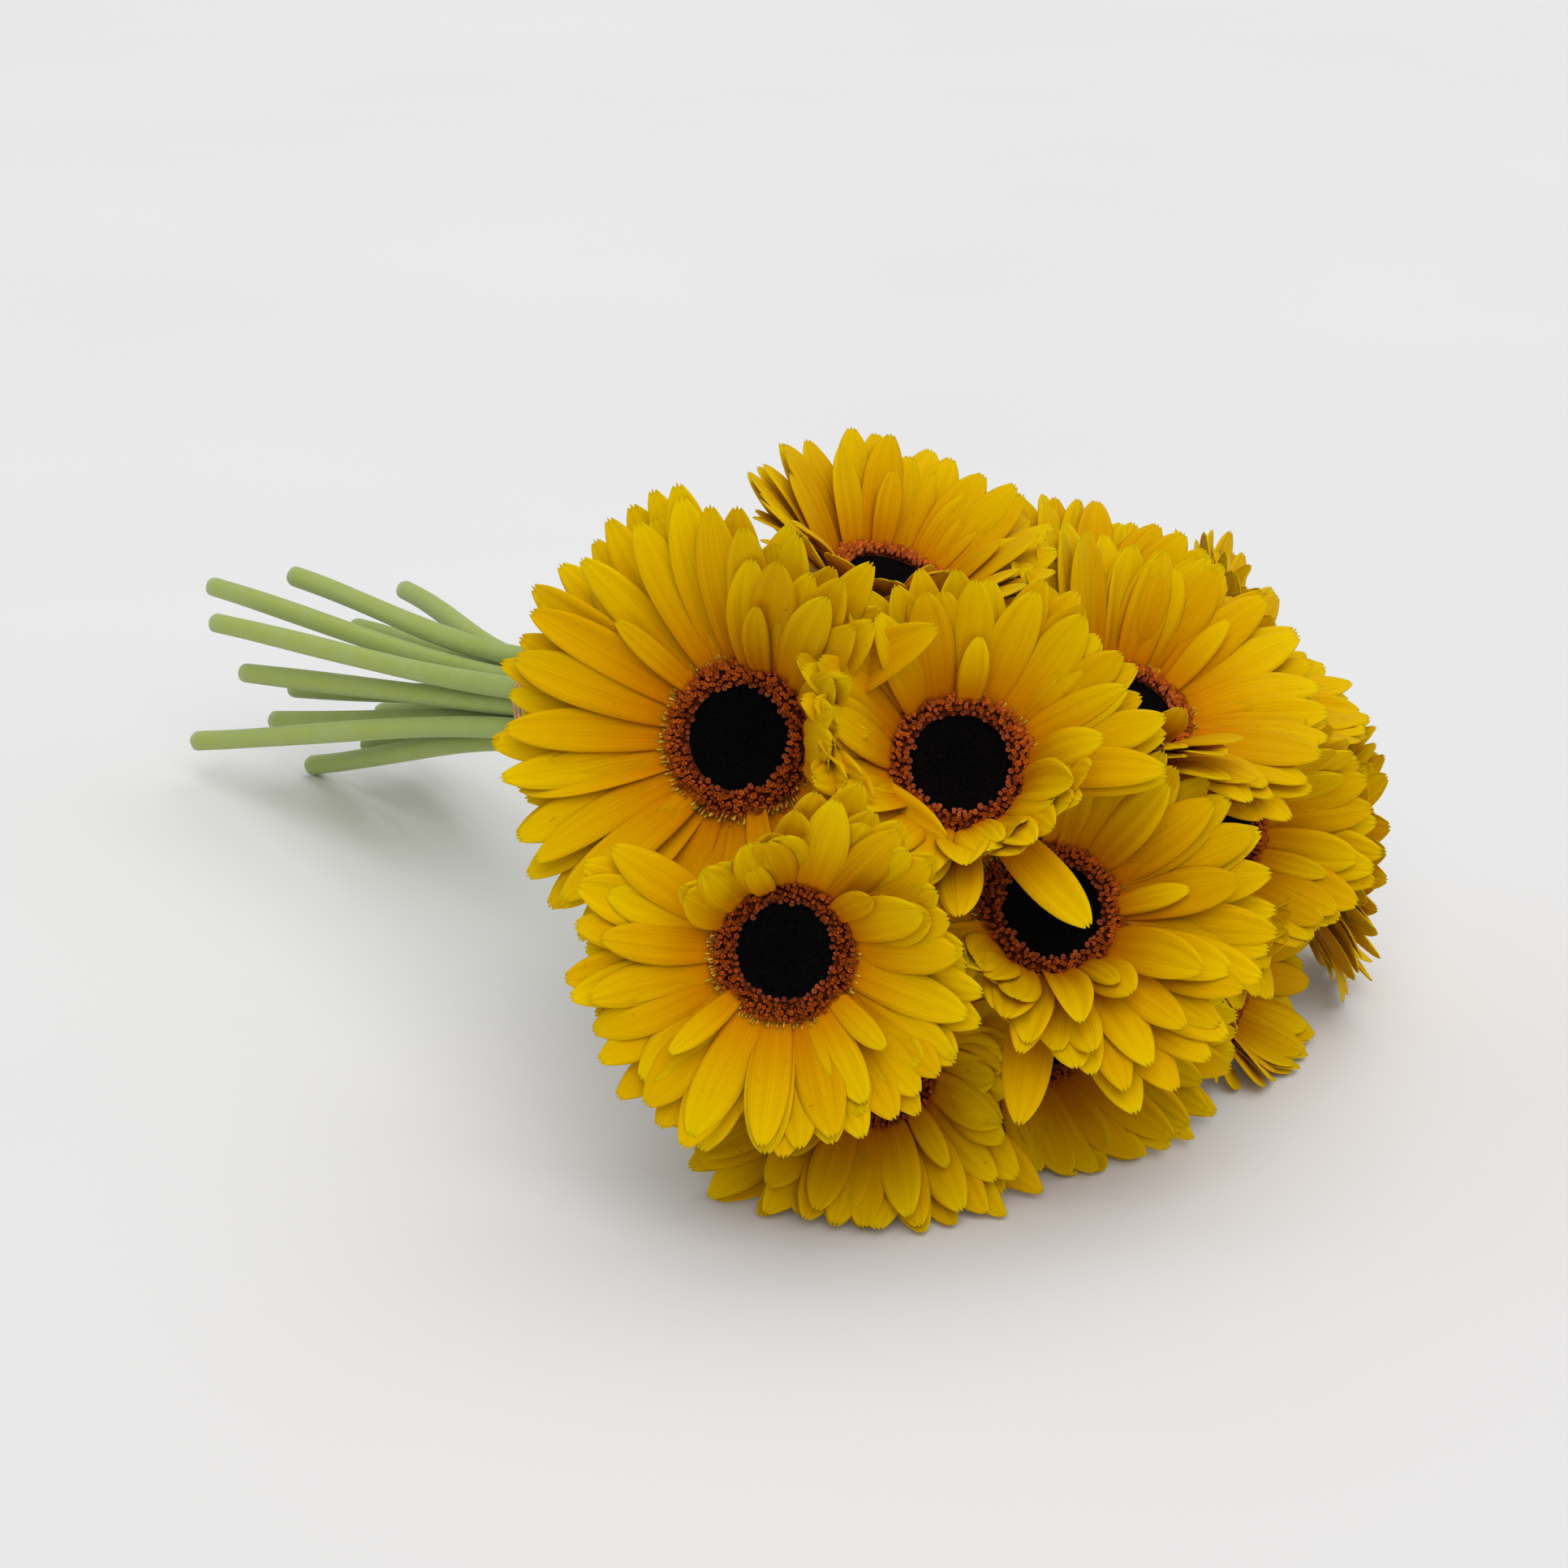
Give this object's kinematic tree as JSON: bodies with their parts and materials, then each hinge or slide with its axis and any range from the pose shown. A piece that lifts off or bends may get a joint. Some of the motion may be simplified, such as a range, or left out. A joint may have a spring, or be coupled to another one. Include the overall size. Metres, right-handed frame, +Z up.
{
  "type": "bunch of gerberas",
  "caption": "Bunch of cut yellow gerberas with dark centres, held by a rubber band round the stems and lying on its side.",
  "frame": {"origin": "middle of the bunch's footprint, on the surface it lies on", "axes": "+X along the bunch from the cut stem ends towards the flower heads, +Z up from the surface, +Y across the bunch"},
  "size_m": [0.4544, 0.292, 0.1754],
  "materials": {
    "stem_green": "matte, finely downy",
    "calyx_green": "matte, finely downy",
    "petal_yellow": "soft satin",
    "disc_brown": "velvety matte",
    "rubber_tan": "dull"
  },
  "bodies": {
    "root": {"stem_01": "stem_green", "calyx_01": "calyx_green", "rays_01": "petal_yellow", "disc_01": "disc_brown", "stem_02": "stem_green", "calyx_02": "calyx_green", "rays_02": "petal_yellow", "disc_02": "disc_brown", "stem_03": "stem_green", "calyx_03": "calyx_green", "rays_03": "petal_yellow", "disc_03": "disc_brown", "stem_04": "stem_green", "calyx_04": "calyx_green", "rays_04": "petal_yellow", "disc_04": "disc_brown", "stem_05": "stem_green", "calyx_05": "calyx_green", "rays_05": "petal_yellow", "disc_05": "disc_brown", "stem_06": "stem_green", "calyx_06": "calyx_green", "rays_06": "petal_yellow", "disc_06": "disc_brown", "stem_07": "stem_green", "calyx_07": "calyx_green", "rays_07": "petal_yellow", "disc_07": "disc_brown", "stem_08": "stem_green", "calyx_08": "calyx_green", "rays_08": "petal_yellow", "disc_08": "disc_brown", "stem_09": "stem_green", "calyx_09": "calyx_green", "rays_09": "petal_yellow", "disc_09": "disc_brown", "stem_10": "stem_green", "calyx_10": "calyx_green", "rays_10": "petal_yellow", "disc_10": "disc_brown", "stem_11": "stem_green", "calyx_11": "calyx_green", "rays_11": "petal_yellow", "disc_11": "disc_brown", "stem_12": "stem_green", "calyx_12": "calyx_green", "rays_12": "petal_yellow", "disc_12": "disc_brown", "stem_13": "stem_green", "calyx_13": "calyx_green", "rays_13": "petal_yellow", "disc_13": "disc_brown", "rubber_band": "rubber_tan"}
  },
  "joints": []
}
